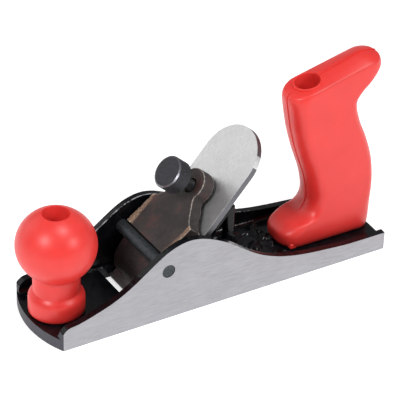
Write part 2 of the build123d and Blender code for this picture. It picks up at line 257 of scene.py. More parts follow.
# %% The camera
AZIMUTH = math.radians(-32.275)
ELEVATION = math.radians(32.263)
ROLL = math.radians(2.255)
EYE = Vector((-400.1, -627.1, 509.5)) * MM
LENS = 173.8
ahead = Vector((-math.sin(AZIMUTH), math.cos(AZIMUTH), 0))
right = Vector((math.cos(AZIMUTH), math.sin(AZIMUTH), 0))
forward = (math.cos(ELEVATION) * ahead - Vector((0, 0, math.sin(ELEVATION)))).normalized()
above = right.cross(forward)
cam_x = math.cos(ROLL) * right + math.sin(ROLL) * above
cam_y = math.cos(ROLL) * above - math.sin(ROLL) * right
camera = bpy.data.objects.new("camera", bpy.data.cameras.new("camera"))
camera.data.lens = LENS
camera.data.sensor_width = 36
camera.data.clip_start = 0.01
turned = Matrix((cam_x, cam_y, -forward)).transposed()
camera.matrix_world = Matrix.Translation(EYE) @ turned.to_4x4()
bpy.context.scene.collection.objects.link(camera)
bpy.context.scene.camera = camera
bpy.context.scene.view_settings.view_transform = "Standard"
print("camera at", [round(value, 3) for value in EYE])


# %% Node helpers shared by every material
def linear(code):
    """An sRGB hex colour such as "c8281e" as the linear colour that shaders use."""
    channels = [int(code[i:i + 2], 16) / 255 for i in (0, 2, 4)]
    return [
        c / 12.92 if c <= 0.04045 else ((c + 0.055) / 1.055) ** 2.4 for c in channels
    ] + [1.0]


def new_material(name):
    """A material with only its principled shader, which is returned with it."""
    material = bpy.data.materials.new(name)
    material.use_nodes = True
    print("material:", name)
    return material, material.node_tree.nodes["Principled BSDF"]


def feed(material, socket, source):
    """Links an output, or the first output of a node, into a socket."""
    if isinstance(source, bpy.types.Node):
        source = source.outputs[0]
    material.node_tree.links.new(source, socket)


def add_node(material, kind, settings=None, **links):
    """Adds a node. A setting is an attribute, a socket's value, or a ramp's (position, hex
    colour) stops. A link is what an input reads, and _0 is the input with the number 0."""
    node = material.node_tree.nodes.new(kind)
    for key, value in (settings or {}).items():
        if key == "stops":
            elements = node.color_ramp.elements
            while len(elements) < len(value):
                elements.new(0.5)
            for element, (position, code) in zip(elements, value):
                element.position = position
                element.color = linear(code)
        elif isinstance(key, str) and hasattr(node, key):
            setattr(node, key, value)
        else:
            node.inputs[key].default_value = value
    for key, source in links.items():
        socket = int(key[1:]) if key[0] == "_" else key.replace("_", " ")
        feed(material, node.inputs[socket], source)
    return node


# %% Floor, sky and lights
floor_shade, floor_look = new_material("studio_floor")
floor_look.inputs["Base Color"].default_value = linear("e6e6e6")
floor_look.inputs["Roughness"].default_value = 0.9
floor_look.inputs["Emission Color"].default_value = linear("ffffff")
floor_look.inputs["Emission Strength"].default_value = 0.55
bpy.ops.mesh.primitive_plane_add(size=6, location=(0, 0, -0.05 * MM))
floor = named("studio_floor")
floor.data.materials.append(floor_shade)

world = bpy.data.worlds.new("sky")
world.use_nodes = True
world.node_tree.nodes["Background"].inputs["Color"].default_value = linear("ffffff")
world.node_tree.nodes["Background"].inputs["Strength"].default_value = 0.28
bpy.context.scene.world = world

MIDDLE = Vector((0, 0, 40)) * MM


def soft_box(name, where, size, watts):
    """A square area light that faces the object."""
    light = bpy.data.lights.new(name, "AREA")
    light.size = size
    light.energy = watts
    lamp = bpy.data.objects.new(name, light)
    lamp.location = where
    lamp.rotation_euler = (MIDDLE - Vector(where)).to_track_quat("-Z", "Y").to_euler()
    bpy.context.scene.collection.objects.link(lamp)


soft_box("key_light", (0.46, -0.88, 0.66), 0.30, 4.0)
soft_box("left_box", (-0.86, -0.28, 0.82), 0.28, 6.2)
soft_box("top_box", (0.12, -0.30, 1.10), 0.30, 4.6)
soft_box("far_card", (-0.55, 0.75, 0.45), 0.7, 1.55)

# %% [markdown]
# ## Red moulded plastic
# The knob and the grip are injection moulded in one opaque red, probably polypropylene or ABS.
# The mould was polished but not mirror bright, so the gloss is soft. A little light goes into
# the plastic, which warms the shaded side. A faint, uneven sink in the surface breaks the
# highlights up, as thick mouldings always show.


# %% Red plastic
FLOW_SIZE = 22            # millimetres, like every size below unless it is multiplied by MM
SINK_SIZE = 7


def red_plastic():
    material, look = new_material("red_moulded_plastic")
    spot = add_node(material, "ShaderNodeTexCoord").outputs["Object"]
    flow = add_node(
        material, "ShaderNodeTexNoise",
        {"Scale": 1 / (FLOW_SIZE * MM), "Detail": 3.0, "Roughness": 0.55}, Vector=spot,
    )
    colour = add_node(
        material, "ShaderNodeValToRGB", {"stops": [(0.30, "db302c"), (0.70, "e33934")]}, Fac=flow
    )
    gloss = add_node(
        material, "ShaderNodeMapRange",
        {"From Min": 0.3, "From Max": 0.7, "To Min": 0.35, "To Max": 0.41}, Value=flow,
    )
    sink = add_node(
        material, "ShaderNodeTexNoise", {"Scale": 1 / (SINK_SIZE * MM), "Detail": 2.0},
        Vector=spot,
    )
    bump = add_node(
        material, "ShaderNodeBump", {"Strength": 0.25, "Distance": 0.12 * MM}, Height=sink
    )
    feed(material, look.inputs["Base Color"], colour)
    feed(material, look.inputs["Roughness"], gloss)
    feed(material, look.inputs["Normal"], bump)
    look.inputs["IOR"].default_value = 1.50
    look.inputs["Subsurface Weight"].default_value = 0.30
    look.inputs["Subsurface Radius"].default_value = (1.5 * MM, 0.4 * MM, 0.3 * MM)
    look.inputs["Subsurface Scale"].default_value = 1.0
    return material


RED_PLASTIC = red_plastic()

# %% [markdown]
# ## Ground and linished steel
# Surface grinding leaves fine straight lines along the length of the sides, and the blade was
# linished along its own length. Noise that is stretched along one direction gives such lines.
# Their real width is too fine to see, so they are drawn coarser. Bare steel is a metal, so the
# lines show in its roughness and its bump as much as in its colour.


# %% Streaked steel
BLOTCH_SIZE = 12
BLOTCH_SHARE = 0.2


def streaked_steel(name, dark, light, along, across, roughness, turned_by=0.0):
    """Steel with fine lines along X, or along the slope when it is turned about Y."""
    material, look = new_material(name)
    spot = add_node(material, "ShaderNodeTexCoord").outputs["Object"]
    level = add_node(material, "ShaderNodeMapping", {"Rotation": (0, turned_by, 0)}, Vector=spot)
    grain = (1 / (along * MM), 1 / (across * MM), 1 / (across * MM))
    stretched = add_node(material, "ShaderNodeMapping", {"Scale": grain}, Vector=level)
    lines = add_node(
        material, "ShaderNodeTexNoise", {"Scale": 1.0, "Detail": 4.0, "Roughness": 0.7},
        Vector=stretched,
    )
    blotches = add_node(
        material, "ShaderNodeTexNoise", {"Scale": 1 / (BLOTCH_SIZE * MM), "Detail": 3.0},
        Vector=spot,
    )
    mixed = add_node(
        material, "ShaderNodeMath", {"operation": "MULTIPLY_ADD", 1: BLOTCH_SHARE},
        _0=blotches, _2=lines,
    )
    colour = add_node(
        material, "ShaderNodeValToRGB", {"stops": [(0.42, dark), (0.80, light)]}, Fac=mixed
    )
    spread = add_node(
        material, "ShaderNodeMapRange",
        {"From Min": 0.3, "From Max": 0.7, "To Min": roughness - 0.06, "To Max": roughness + 0.08},
        Value=lines,
    )
    bump = add_node(
        material, "ShaderNodeBump", {"Strength": 0.35, "Distance": 0.03 * MM}, Height=lines
    )
    feed(material, look.inputs["Base Color"], colour)
    feed(material, look.inputs["Roughness"], spread)
    feed(material, look.inputs["Normal"], bump)
    look.inputs["Metallic"].default_value = 1.0
    return material


GROUND_STEEL = streaked_steel("ground_steel", "949498", "adadb1", 6, 0.35, 0.42)
BLADE_STEEL = streaked_steel("linished_blade_steel", "c3c3c4", "e4e4e5", 2.6, 0.5, 0.46, BED_ANGLE)

# %% [markdown]
# ## Black enamel
# The inside of the casting has a thick glossy enamel over the rough iron, so its surface is soft
# and lumpy. Along the inner edge of the far rim, a pale broken line is painted into the colour. It is
# a painted highlight for the light that this edge catches. Its mask is a strip beside the edge, only
# on the far side, where the surface faces up and lies above the floor, broken up by noise.

# %% Mask of the painted rim highlight
RIM_HIGHLIGHT_MIDDLE = 19.95        # the middle of the painted highlight strip, off the plane's middle
RIM_HIGHLIGHT_HALF_WIDTH = 0.35
RIM_HIGHLIGHT_ABOVE = 12            # height over the sole from which the rim highlight is painted
RIM_HIGHLIGHT_BREAK_SIZE = 2.2


def painted_rim_highlight(material, spot):
    """A mask that is 1 where a highlight is painted on the inner edge of the far rim."""
    off_middle, height = add_node(material, "ShaderNodeSeparateXYZ", Vector=spot).outputs[1:]
    facing = add_node(material, "ShaderNodeNewGeometry").outputs["Normal"]
    upward = add_node(material, "ShaderNodeSeparateXYZ", Vector=facing).outputs["Z"]
    beside = add_node(
        material, "ShaderNodeMath",
        {"operation": "COMPARE", 1: RIM_HIGHLIGHT_MIDDLE * MM, 2: RIM_HIGHLIGHT_HALF_WIDTH * MM}, _0=off_middle,
    )
    level = add_node(
        material, "ShaderNodeMath", {"operation": "GREATER_THAN", 1: 0.3}, _0=upward
    )
    high = add_node(
        material, "ShaderNodeMath", {"operation": "GREATER_THAN", 1: RIM_HIGHLIGHT_ABOVE * MM}, _0=height
    )
    broken = add_node(
        material, "ShaderNodeTexNoise", {"Scale": 1 / (RIM_HIGHLIGHT_BREAK_SIZE * MM), "Detail": 3.0}, Vector=spot
    )
    highlight_mask = add_node(
        material, "ShaderNodeMapRange",
        {"From Min": 0.42, "From Max": 0.60, "To Min": 0.0, "To Max": 1.0}, Value=broken,
    )
    for mask in (beside, level, high):
        highlight_mask = add_node(
            material, "ShaderNodeMath", {"operation": "MULTIPLY"}, _0=highlight_mask, _1=mask
        )
    return highlight_mask


# %% Enamel
LUMP_SIZE = 3.5


def black_enamel():
    material, look = new_material("black_enamel_on_casting")
    spot = add_node(material, "ShaderNodeTexCoord").outputs["Object"]
    lumps = add_node(
        material, "ShaderNodeTexNoise",
        {"Scale": 1 / (LUMP_SIZE * MM), "Detail": 4.0, "Roughness": 0.5}, Vector=spot,
    )
    black = add_node(
        material, "ShaderNodeValToRGB", {"stops": [(0.35, "08090b"), (0.70, "101216")]},
        Fac=lumps,
    )
    # the pale 9a9aa0 along the far rim's inner edge is a painted highlight
    colour = add_node(
        material, "ShaderNodeMix", {"data_type": "RGBA", 7: linear("9a9aa0")},
        _0=painted_rim_highlight(material, spot), _6=black,
    )
    gloss = add_node(
        material, "ShaderNodeMapRange",
        {"From Min": 0.3, "From Max": 0.7, "To Min": 0.10, "To Max": 0.22}, Value=lumps,
    )
    bump = add_node(
        material, "ShaderNodeBump", {"Strength": 0.8, "Distance": 0.45 * MM}, Height=lumps
    )
    feed(material, look.inputs["Base Color"], colour.outputs[2])
    feed(material, look.inputs["Roughness"], gloss)
    feed(material, look.inputs["Normal"], bump)
    look.inputs["IOR"].default_value = 1.52
    look.inputs["Specular IOR Level"].default_value = 0.2
    return material


BLACK_ENAMEL = black_enamel()

# %% [markdown]
# ## Rough brown iron
# The lever cap is raw brown cast iron. Hands and the pin have rubbed two strips beside its
# shoulders tan. Every corner above the pin is pale, partly from wear and partly as a painted
# highlight for the light its edges catch. A vector that is turned onto the bed says how far a point
# lies up the cap, across it and out from the blade, so each strip is a mask with two slanted limits.
# The pale corners come from the mesh's own pointiness.

# %% Masks on the lever cap
STRIP_TAPER = 0.10        # the rubbed strips narrow by this much for each millimetre up the cap
STRIP_FALL = 0.2          # and their tops fall towards the blade by this much
STRIP_BESIDE = (13.7, 14.5)
STRIP_ON_TOP = (43.2, 43.9)
WORN_AND_HIGHLIT_SLANT = 1.2
WORN_AND_HIGHLIT_FROM = (14.8, 16.4)
GRIT_SIZE = 0.7
GRIT_SPREAD = 1.6


def step_over(limits):
    """Map Range settings that rise from 0 to 1 between two limits in millimetres."""
    return {"From Min": limits[0] * MM, "From Max": limits[1] * MM}


def rubbed_strips(material, up_cap, across, out, grit):
    """A mask that is 1 on the two tan strips, with ragged edges."""
    ragged = add_node(
        material, "ShaderNodeMath", {"operation": "MULTIPLY_ADD", 1: GRIT_SPREAD * MM},
        _0=grit, _2=across,
    )
    beside = add_node(
        material, "ShaderNodeMath", {"operation": "MULTIPLY_ADD", 1: -STRIP_TAPER},
        _0=up_cap, _2=ragged,
    )
    above = add_node(
        material, "ShaderNodeMath", {"operation": "MULTIPLY_ADD", 1: STRIP_FALL},
        _0=up_cap, _2=out,
    )
    on_strip = add_node(material, "ShaderNodeMapRange", step_over(STRIP_BESIDE), Value=beside)
    on_top = add_node(material, "ShaderNodeMapRange", step_over(STRIP_ON_TOP), Value=above)
    return add_node(
        material, "ShaderNodeMath", {"operation": "MULTIPLY"}, _0=on_strip, _1=on_top
    )


def worn_and_highlit_corners(material, up_cap, across):
    """A mask that is 1 on the sharp corners that stand clear of the pin: worn pale and a painted
    highlight.
    """
    pointy_corners = add_node(
        material, "ShaderNodeMapRange",
        {"From Min": 0.525, "From Max": 0.575, "To Min": 0.0, "To Max": 1.0},
        Value=add_node(material, "ShaderNodeNewGeometry").outputs["Pointiness"],
    )
    slanted_reach = add_node(
        material, "ShaderNodeMath", {"operation": "MULTIPLY_ADD", 1: WORN_AND_HIGHLIT_SLANT},
        _0=up_cap, _2=across,
    )
    exposed = add_node(material, "ShaderNodeMapRange", step_over(WORN_AND_HIGHLIT_FROM), Value=slanted_reach)
    return add_node(
        material, "ShaderNodeMath", {"operation": "MULTIPLY"}, _0=pointy_corners, _1=exposed
    )


# %% Brown iron
def brown_iron():
    material, look = new_material("brown_cast_iron")
    spot = add_node(material, "ShaderNodeTexCoord").outputs["Object"]
    patches = add_node(
        material, "ShaderNodeTexNoise", {"Scale": 1 / (9 * MM), "Detail": 5.0, "Roughness": 0.6},
        Vector=spot,
    )
    grit = add_node(
        material, "ShaderNodeTexNoise", {"Scale": 1 / (GRIT_SIZE * MM), "Detail": 4.0}, Vector=spot
    )
    scale = add_node(
        material, "ShaderNodeValToRGB",
        {"stops": [(0.34, "241e1d"), (0.54, "342b2a"), (0.68, "4a2f2c")]}, Fac=patches,
    )
    along_bed = add_node(
        material, "ShaderNodeMapping", {"Rotation": (0, BED_ANGLE, 0)}, Vector=spot
    )
    up_cap, sideways, out = add_node(
        material, "ShaderNodeSeparateXYZ", Vector=along_bed
    ).outputs
    across = add_node(material, "ShaderNodeMath", {"operation": "ABSOLUTE"}, _0=sideways)
    tan = add_node(
        material, "ShaderNodeValToRGB", {"stops": [(0.35, "57453a"), (0.62, "94765f")]}, Fac=grit
    )
    strips = add_node(
        material, "ShaderNodeMix", {"data_type": "RGBA"},
        _0=rubbed_strips(material, up_cap, across, out, grit), _6=scale, _7=tan,
    )
    # the pale cdc2b6 on the corners is partly wear, partly a painted highlight
    colour = add_node(
        material, "ShaderNodeMix", {"data_type": "RGBA", 7: linear("cdc2b6")},
        _0=worn_and_highlit_corners(material, up_cap, across), _6=strips.outputs[2],
    )
    bump = add_node(
        material, "ShaderNodeBump", {"Strength": 0.8, "Distance": 0.3 * MM}, Height=grit
    )
    feed(material, look.inputs["Base Color"], colour.outputs[2])
    feed(material, look.inputs["Normal"], bump)
    look.inputs["Roughness"].default_value = 0.58
    look.inputs["Metallic"].default_value = 0.1
    return material


BROWN_IRON = brown_iron()

# %% [markdown]
# ## Small steel parts and rubbed paint
# The thumbscrew and the pin are blackened and the screws are zinc plated. The casting's two ends
# were rubbed until the enamel went dull. All are fine, slightly mottled surfaces, so one function
# makes them from two colours, the size of the mottling, a roughness and a metallic value.


# %% Mottled finishes
def mottled(name, dark, light, grain_size, roughness, metallic):
    """A fine mottled finish for blackened or plated steel, or for dull paint."""
    material, look = new_material(name)
    spot = add_node(material, "ShaderNodeTexCoord").outputs["Object"]
    grain = add_node(
        material, "ShaderNodeTexNoise", {"Scale": 1 / (grain_size * MM), "Detail": 4.0},
        Vector=spot,
    )
    colour = add_node(
        material, "ShaderNodeValToRGB", {"stops": [(0.3, dark), (0.7, light)]}, Fac=grain
    )
    bump = add_node(
        material, "ShaderNodeBump", {"Strength": 0.4, "Distance": 0.05 * MM}, Height=grain
    )
    feed(material, look.inputs["Base Color"], colour)
    feed(material, look.inputs["Normal"], bump)
    look.inputs["Roughness"].default_value = roughness
    look.inputs["Metallic"].default_value = metallic
    return material


BLACK_OXIDE = mottled("black_oxide_steel", "303034", "3d3d42", 1.2, 0.5, 0.6)
PIN_STEEL = mottled("rolled_pin_steel", "2f3235", "4b5053", 0.9, 0.45, 0.7)
DULL_PAINT = mottled("rubbed_dull_enamel", "2b2c35", "3a3b45", 1.5, 0.5, 0.0)
# the lighter chamfer ring of the thumbscrew: partly worn oxide, partly a painted highlight
WORN_OXIDE_AND_HIGHLIGHT = mottled("worn_oxide_and_painted_highlight_rim", "64646a", "8c8c92", 0.9, 0.35, 0.9)
# the near-black stud is painted shade: it lies in the shadow of the thumbscrew's head
SHADED_THREAD = mottled("thread_painted_shade", "0e0e10", "1a1a1c", 0.9, 0.5, 0.3)
ZINC = mottled("zinc_plated_steel", "8d8c86", "b5b4ae", 0.8, 0.38, 1.0)

# %% [markdown]
# ## The casting
# The body's shape is already right in the engineering model, so a copy of its skin is merged and
# its flat areas are dissolved into single faces. Its corners ask for a bevel, which the clamp
# holds back to almost nothing on this skin. Weighted normals keep the large flat sides free of
# shading streaks. The outer sides and the sole were ground after painting, so those faces get
# the ground steel, the two ends get dull paint and everything else the enamel.

# %% Body casting
EDGE_ROUND = 0.6
TOE_FACE = 8.6            # the curved toe face starts this far ahead of the knob's axis
HEEL_END = 2.0
casting = eased_copy("plane_body", "body_casting", EDGE_ROUND, 3, 32)
apply_modifier(casting, "WEIGHTED_NORMAL", keep_sharp=True)
casting.data.materials.append(BLACK_ENAMEL)
start_edit(casting, "FACE")


def is_ground(middle, normal):
    """The faces that were ground: the outside of each cheek, and the sole."""
    outside = abs(normal.y) > 0.98 and abs(middle.y) > HALF_WIDTH - 0.1 * MM
    return outside or (normal.z < -0.98 and middle.z < 0.1 * MM)


def is_end(middle, normal):
    """The curved toe face and the heel's end, where the paint was rubbed dull."""
    beyond = middle.x < KNOB_X - TOE_FACE * MM or middle.x > body_high.x - HEEL_END * MM
    return beyond and abs(normal.x) > 0.5 and not is_ground(middle, normal)


finish_faces(casting, GROUND_STEEL, is_ground)
finish_faces(casting, DULL_PAINT, is_end)
end_edit()
hand_over(casting, "body", "body_casting", BLACK_ENAMEL, "plane_body")

# %% [markdown]
# The trough between the bed's posts and the grip was never dressed: the sand left it lumpy, and
# the enamel ran over the lumps. A fine grid laid on the floor is pushed up and down by a cloud
# texture, then thickened downwards, so that only its high places stand out of the flat floor.

# %% Rough floor of the rear trough
ROUGH_FROM = 4.0
ROUGH_TO = 39.0
ROUGH_WIDTH = 38.6
RUN_SIZE = 4.6
RUN_HEIGHT = 6.0
RUN_THICKNESS = 2.2
ROUGH_MIDDLE = ((ROUGH_FROM + ROUGH_TO) / 2 * MM, 0, SOLE_TOP + 0.1 * MM)
bpy.ops.mesh.primitive_grid_add(x_subdivisions=76, y_subdivisions=82, size=1)
rough_floor = named("rough_trough_floor")
bpy.ops.object.mode_set(mode="EDIT")
bpy.ops.transform.resize(
    value=((ROUGH_TO - ROUGH_FROM) * MM, ROUGH_WIDTH * MM, 1), center_override=(0, 0, 0)
)
bpy.ops.transform.translate(value=ROUGH_MIDDLE)
end_edit()
runs = bpy.data.textures.new("enamel_runs", "CLOUDS")
runs.noise_scale = RUN_SIZE * MM
runs.noise_depth = 1
apply_modifier(
    rough_floor, "DISPLACE", texture=runs, texture_coords="GLOBAL",
    strength=RUN_HEIGHT * MM, mid_level=0.5,
)
start_edit(rough_floor, "FACE")
bpy.ops.mesh.select_all(action="SELECT")
pull((0, 0, -RUN_THICKNESS * MM))
end_edit()
closed_and_smooth(rough_floor, 60)
top = max(vertex.co.z for vertex in rough_floor.data.vertices)
print(f"lumps stand {(top - SOLE_TOP) / MM:.1f} mm out of the floor")
hand_over(rough_floor, "body", "body_casting", BLACK_ENAMEL)

# %% [markdown]
# ## The front knob
# The knob is turned in shape: a ball on a neck, on a rounded foot, with a deep well for its
# screw. It could be spun from a profile, but starting from a ball keeps the ball truly round:
# its underside and crown are cut away, and the open edges are pulled down into the neck, the
# foot and the well.

# %% Front knob
BALL_Z = 40.0
BALL_HALF_HEIGHT = 17.3
NECK_RADIUS = 10.7
SHOULDER_TOP_Z = 17.0
SHOULDER_DROP = 4.0
FOOT_RADIUS = 12.9
RIM_RADIUS = 6.5
WELL_RADIUS = 6.1
WELL_FLOOR_Z = 36.0
SHAFT_RADIUS = 3.3
ball_radius = (knob_high.x - knob_low.x) / 2
KNOB_MIDDLE = Vector((KNOB_X, 0, BALL_Z * MM))


def ring_steps(steps):
    """Pulls the selected ring through (height, radius) steps, starting from the first."""
    for (z0, r0), (z1, r1) in zip(steps, steps[1:]):
        pull((0, 0, (z1 - z0) * MM))
        if r1 != r0:
            bpy.ops.transform.resize(
                value=(r1 / r0, r1 / r0, 1), center_override=tuple(KNOB_MIDDLE)
            )


bpy.ops.mesh.primitive_uv_sphere_add(
    segments=96, ring_count=72, radius=ball_radius, location=KNOB_MIDDLE
)
knob = named("red_knob")
start_edit(knob, "VERT")
bpy.ops.mesh.select_all(action="SELECT")
bpy.ops.transform.resize(
    value=(1, 1, BALL_HALF_HEIGHT * MM / ball_radius), center_override=tuple(KNOB_MIDDLE)
)
end_edit()


def ball_height(radius, side):
    """Where the ball has this radius, above (+1) or below (-1) its middle."""
    share = radius * MM / ball_radius
    return BALL_Z + side * BALL_HALF_HEIGHT * math.sqrt(1 - share ** 2)


neck_z = ball_height(NECK_RADIUS, -1)
rim_z = ball_height(RIM_RADIUS, 1)
for height, side in ((neck_z, -1), (rim_z, 1)):
    start_edit(knob, "VERT")
    bpy.ops.mesh.select_all(action="SELECT")
    bpy.ops.mesh.bisect(
        plane_co=(KNOB_X, 0, height * MM), plane_no=(0, 0, side), clear_outer=True,
        threshold=CUT_WITHIN,
    )
    end_edit()


def pick_ring(piece, height):
    """Selects the ring of vertices at this height, and returns how many there are."""
    start_edit(piece, "VERT")
    return pick_vertices(piece, lambda co: abs(co.z - height * MM) < 0.01 * MM)


# %% Neck and foot of the knob
foot_z = SOLE_TOP / MM
print("neck ring:", pick_ring(knob, neck_z))
shoulder = [
    (SHOULDER_TOP_Z - SHOULDER_DROP * (1 - math.cos(turned)),
     NECK_RADIUS + (FOOT_RADIUS - NECK_RADIUS) * math.sin(turned) ** 2)
    for turned in [math.radians(15 * step) for step in range(1, 7)]
]
ring_steps(
    [(neck_z, NECK_RADIUS), (neck_z - 0.7, NECK_RADIUS - 0.25), (neck_z - 1.6, NECK_RADIUS),
     (SHOULDER_TOP_Z, NECK_RADIUS)] + shoulder
    + [(foot_z + 1.9, FOOT_RADIUS), (foot_z + 0.9, FOOT_RADIUS - 0.2),
       (foot_z + 0.3, FOOT_RADIUS - 0.8), (foot_z, FOOT_RADIUS - 1.8), (foot_z, SHAFT_RADIUS)],
)
end_edit()

# %% Well of the knob
print("rim ring:", pick_ring(knob, rim_z))
ring_steps(
    [(rim_z, RIM_RADIUS), (rim_z + 0.05, RIM_RADIUS - 0.2), (rim_z - 0.35, WELL_RADIUS),
     (WELL_FLOOR_Z + 0.4, WELL_RADIUS), (WELL_FLOOR_Z, WELL_RADIUS - 0.4),
     (WELL_FLOOR_Z, SHAFT_RADIUS), (foot_z, SHAFT_RADIUS)],
)
end_edit()
closed_and_smooth(knob, 40)
hand_over(knob, "body", "red_plastic", RED_PLASTIC, "front_knob")

# %% [markdown]
# ## The rear grip
# The grip is a flat-sided pistol shape with a flared foot and a horn that hangs over the hand.
# Sculpting it would be slow to get even, so it is drawn like a ship's hull: one rounded ring at
# the foot is extruded upwards ring by ring, and each ring is turned, stretched and moved to its
# own station. The last rings crown the top, inside a crisp edge that is rounded by a hair.

# %% Grip stations
# Front point and back point of each ring, as distance behind the front of the foot and height
# above the sole, and the ring's width. All in millimetres.
GRIP_STATIONS = [
    (2.6, 5.5, 49.2, 5.5, 18.0),
    (0.9, 6.5, 50.1, 6.4, 21.2),
    (0.0, 9.0, 50.4, 9.0, 22.8),
    (0.4, 12.8, 50.8, 14.0, 22.4),
    (5.0, 16.2, 51.0, 19.5, 21.4),
    (12.0, 18.4, 51.2, 23.5, 20.6),
    (15.8, 22.4, 51.3, 28.5, 20.0),
    (16.9, 28.5, 51.0, 34.5, 19.6),
    (14.4, 39.8, 49.6, 43.5, 19.2),
    (9.6, 52.5, 46.1, 54.0, 19.0),
    (6.0, 64.5, 41.6, 64.0, 18.8),
    (3.8, 75.0, 39.0, 74.0, 18.6),
    (2.9, 80.0, 41.8, 79.8, 18.6),
    (2.6, 82.0, 47.4, 85.0, 18.6),
    (2.9, 83.4, 50.9, 90.0, 18.6),
    (3.5, 84.3, 51.3, 93.4, 18.4),
    (4.4, 84.9, 50.2, 96.0, 18.0),
]
CROWN_STATIONS = [
    (4.4, 84.9, 50.2, 96.0, 18.0),
    (5.2, 85.4, 49.2, 96.4, 16.6),
    (9.5, 87.2, 45.5, 97.1, 10.5),
    (14.5, 89.1, 41.0, 97.2, 4.0),
]
print("grip stations:", len(GRIP_STATIONS) + len(CROWN_STATIONS) - 1)


# %% From station to station
def smooth_stations(stations, steps):
    """Adds stations on a smooth curve through the given ones."""
    last = len(stations) - 1
    result = [stations[0]]
    for i in range(last):
        a, b, c, d = (stations[min(max(i + k, 0), last)] for k in (-1, 0, 1, 2))
        for step in range(1, steps + 1):
            t = step / steps
            result.append(tuple(
                0.5 * (2 * q + (r - p) * t + (2 * p - 5 * q + 4 * r - s) * t ** 2
                       + (3 * q - p - 3 * r + s) * t ** 3)
                for p, q, r, s in zip(a, b, c, d)
            ))
    return result


def station_pose(station):
    """The middle, length, width and tilt of a station, in metres and radians."""
    front_x, front_z, back_x, back_z, width = [value * MM for value in station]
    middle = Vector((grip_low.x + (front_x + back_x) / 2, 0, (front_z + back_z) / 2))
    length = math.hypot(back_x - front_x, back_z - front_z)
    return middle, length, width, math.atan2(back_z - front_z, back_x - front_x)


def next_ring(old, new):
    """Extrudes the selected ring and carries it from one station's pose to the next."""
    (from_middle, from_length, from_width, from_tilt) = old
    (to_middle, to_length, to_width, to_tilt) = new
    pull((0, 0, 0))
    centre = tuple(from_middle)
    bpy.ops.transform.rotate(value=-from_tilt, orient_axis="Y", center_override=centre)
    bpy.ops.transform.resize(
        value=(to_length / from_length, to_width / from_width, 1), center_override=centre
    )
    bpy.ops.transform.rotate(value=to_tilt, orient_axis="Y", center_override=centre)
    bpy.ops.transform.translate(value=tuple(to_middle - from_middle))


# %% Grip body
STEPS_BETWEEN = 4
FOOT_CORNER = 7.5
CROWN_ROUND = 0.4
CROWN_FROM_Z = 80.0
stations = smooth_stations(GRIP_STATIONS, STEPS_BETWEEN)
stations += smooth_stations(CROWN_STATIONS, STEPS_BETWEEN)[1:]
pose = station_pose(stations[0])
foot_middle, foot_length, foot_width = pose[:3]
bpy.ops.mesh.primitive_plane_add(size=1, location=foot_middle)
grip = named("red_grip")
bpy.ops.object.mode_set(mode="EDIT")
bpy.ops.transform.resize(value=(foot_length, foot_width, 1), center_override=tuple(foot_middle))
bpy.ops.mesh.select_mode(type="VERT")
bpy.ops.mesh.select_all(action="SELECT")
bpy.ops.mesh.bevel(offset=FOOT_CORNER * MM, segments=12, affect="VERTICES")
bpy.ops.mesh.select_all(action="SELECT")
bpy.ops.mesh.delete(type="ONLY_FACE")
bpy.ops.mesh.select_mode(type="EDGE")
for axis, cuts in ((0, 11), (1, 5)):
    pick_edges(
        grip, lambda edge: abs(edge.verts[0].co[axis] - edge.verts[1].co[axis]) > 2.5 * MM
    )
    bpy.ops.mesh.subdivide(number_cuts=cuts)
bpy.ops.mesh.select_mode(type="VERT")
bpy.ops.mesh.select_all(action="SELECT")
for station in stations[1:]:
    step_pose = station_pose(station)
    next_ring(pose, step_pose)
    pose = step_pose
bpy.ops.mesh.edge_face_add()      # the crown is still selected, then the foot is closed
pick_edges(grip, lambda edge: edge.is_boundary)
bpy.ops.mesh.edge_face_add()
end_edit()
closed_and_smooth(grip, 35)
start_edit(grip, "EDGE")
crown_edges = pick_edges(
    grip,
    lambda edge: edge.calc_face_angle(0) > math.radians(35) and edge.verts[0].co.z > CROWN_FROM_Z * MM,
)
bpy.ops.mesh.bevel(offset=CROWN_ROUND * MM, segments=3)
end_edit()
print("edges rounded round the crown:", crown_edges)
grip_size = [round(value / MM, 1) for value in grip.dimensions]
print("grip, mm:", grip_size, "against", [round(v / MM, 1) for v in grip_high - grip_low])

# %% [markdown]
# The screw's well is bored after the outside is finished, which a Boolean does cleanly: a short
# raised boss round its mouth is joined on first, then the well and the clearance hole for the
# screw are cut. A small lug at the foot is joined on too, and last comes the thin seam where the
# two halves of the mould met: two cuts beside the middle mark its faces, which are then raised.

# %% Grip well
LEAN = math.radians(14)
WELL_TOP = Vector((grip_low.x / MM + 13.6, 0, 88.3)) * MM
GRIP_WELL_RADIUS = 6.0
MOUTH_BOSS_RADIUS = 6.9
MOUTH_BOSS_HEIGHT = 0.55
RIM_ROUND = 0.22
GRIP_WELL_FLOOR_Z = 65.0
BOSS_ROOT = 4.0           # the boss starts this far inside the grip
PAST_THE_MOUTH = 12.0
SEAM_HALF_WIDTH = 0.3
SEAM_HEIGHT = 0.36
SEAM_CLEAR = 7.6          # the seam stays this far from the well's axis
SEAM_FRONT_FROM_Z = 19.5
SEAM_TOP_FROM_Z = 89.5
LUG_SIZE = Vector((3.4, 3.0, 2.6)) * MM
LUG_MIDDLE = Vector((grip_low.x / MM + 4.9, -9.0, 7.3)) * MM
down_the_well = Matrix.Translation(WELL_TOP) @ Matrix.Rotation(-LEAN, 4, "Y")


def bored(piece, operation, radius, low, high):
    """Joins or cuts a round bar on the well's axis, between two distances from its mouth."""
    bpy.ops.mesh.primitive_cylinder_add(
        vertices=72, radius=radius * MM, depth=(high - low) * MM,
        location=(0, 0, (high + low) / 2 * MM),
    )
    bar = named("bar")
    place(bar, down_the_well)
    apply_modifier(piece, "BOOLEAN", operation=operation, object=bar, solver="EXACT")
    bpy.data.objects.remove(bar)


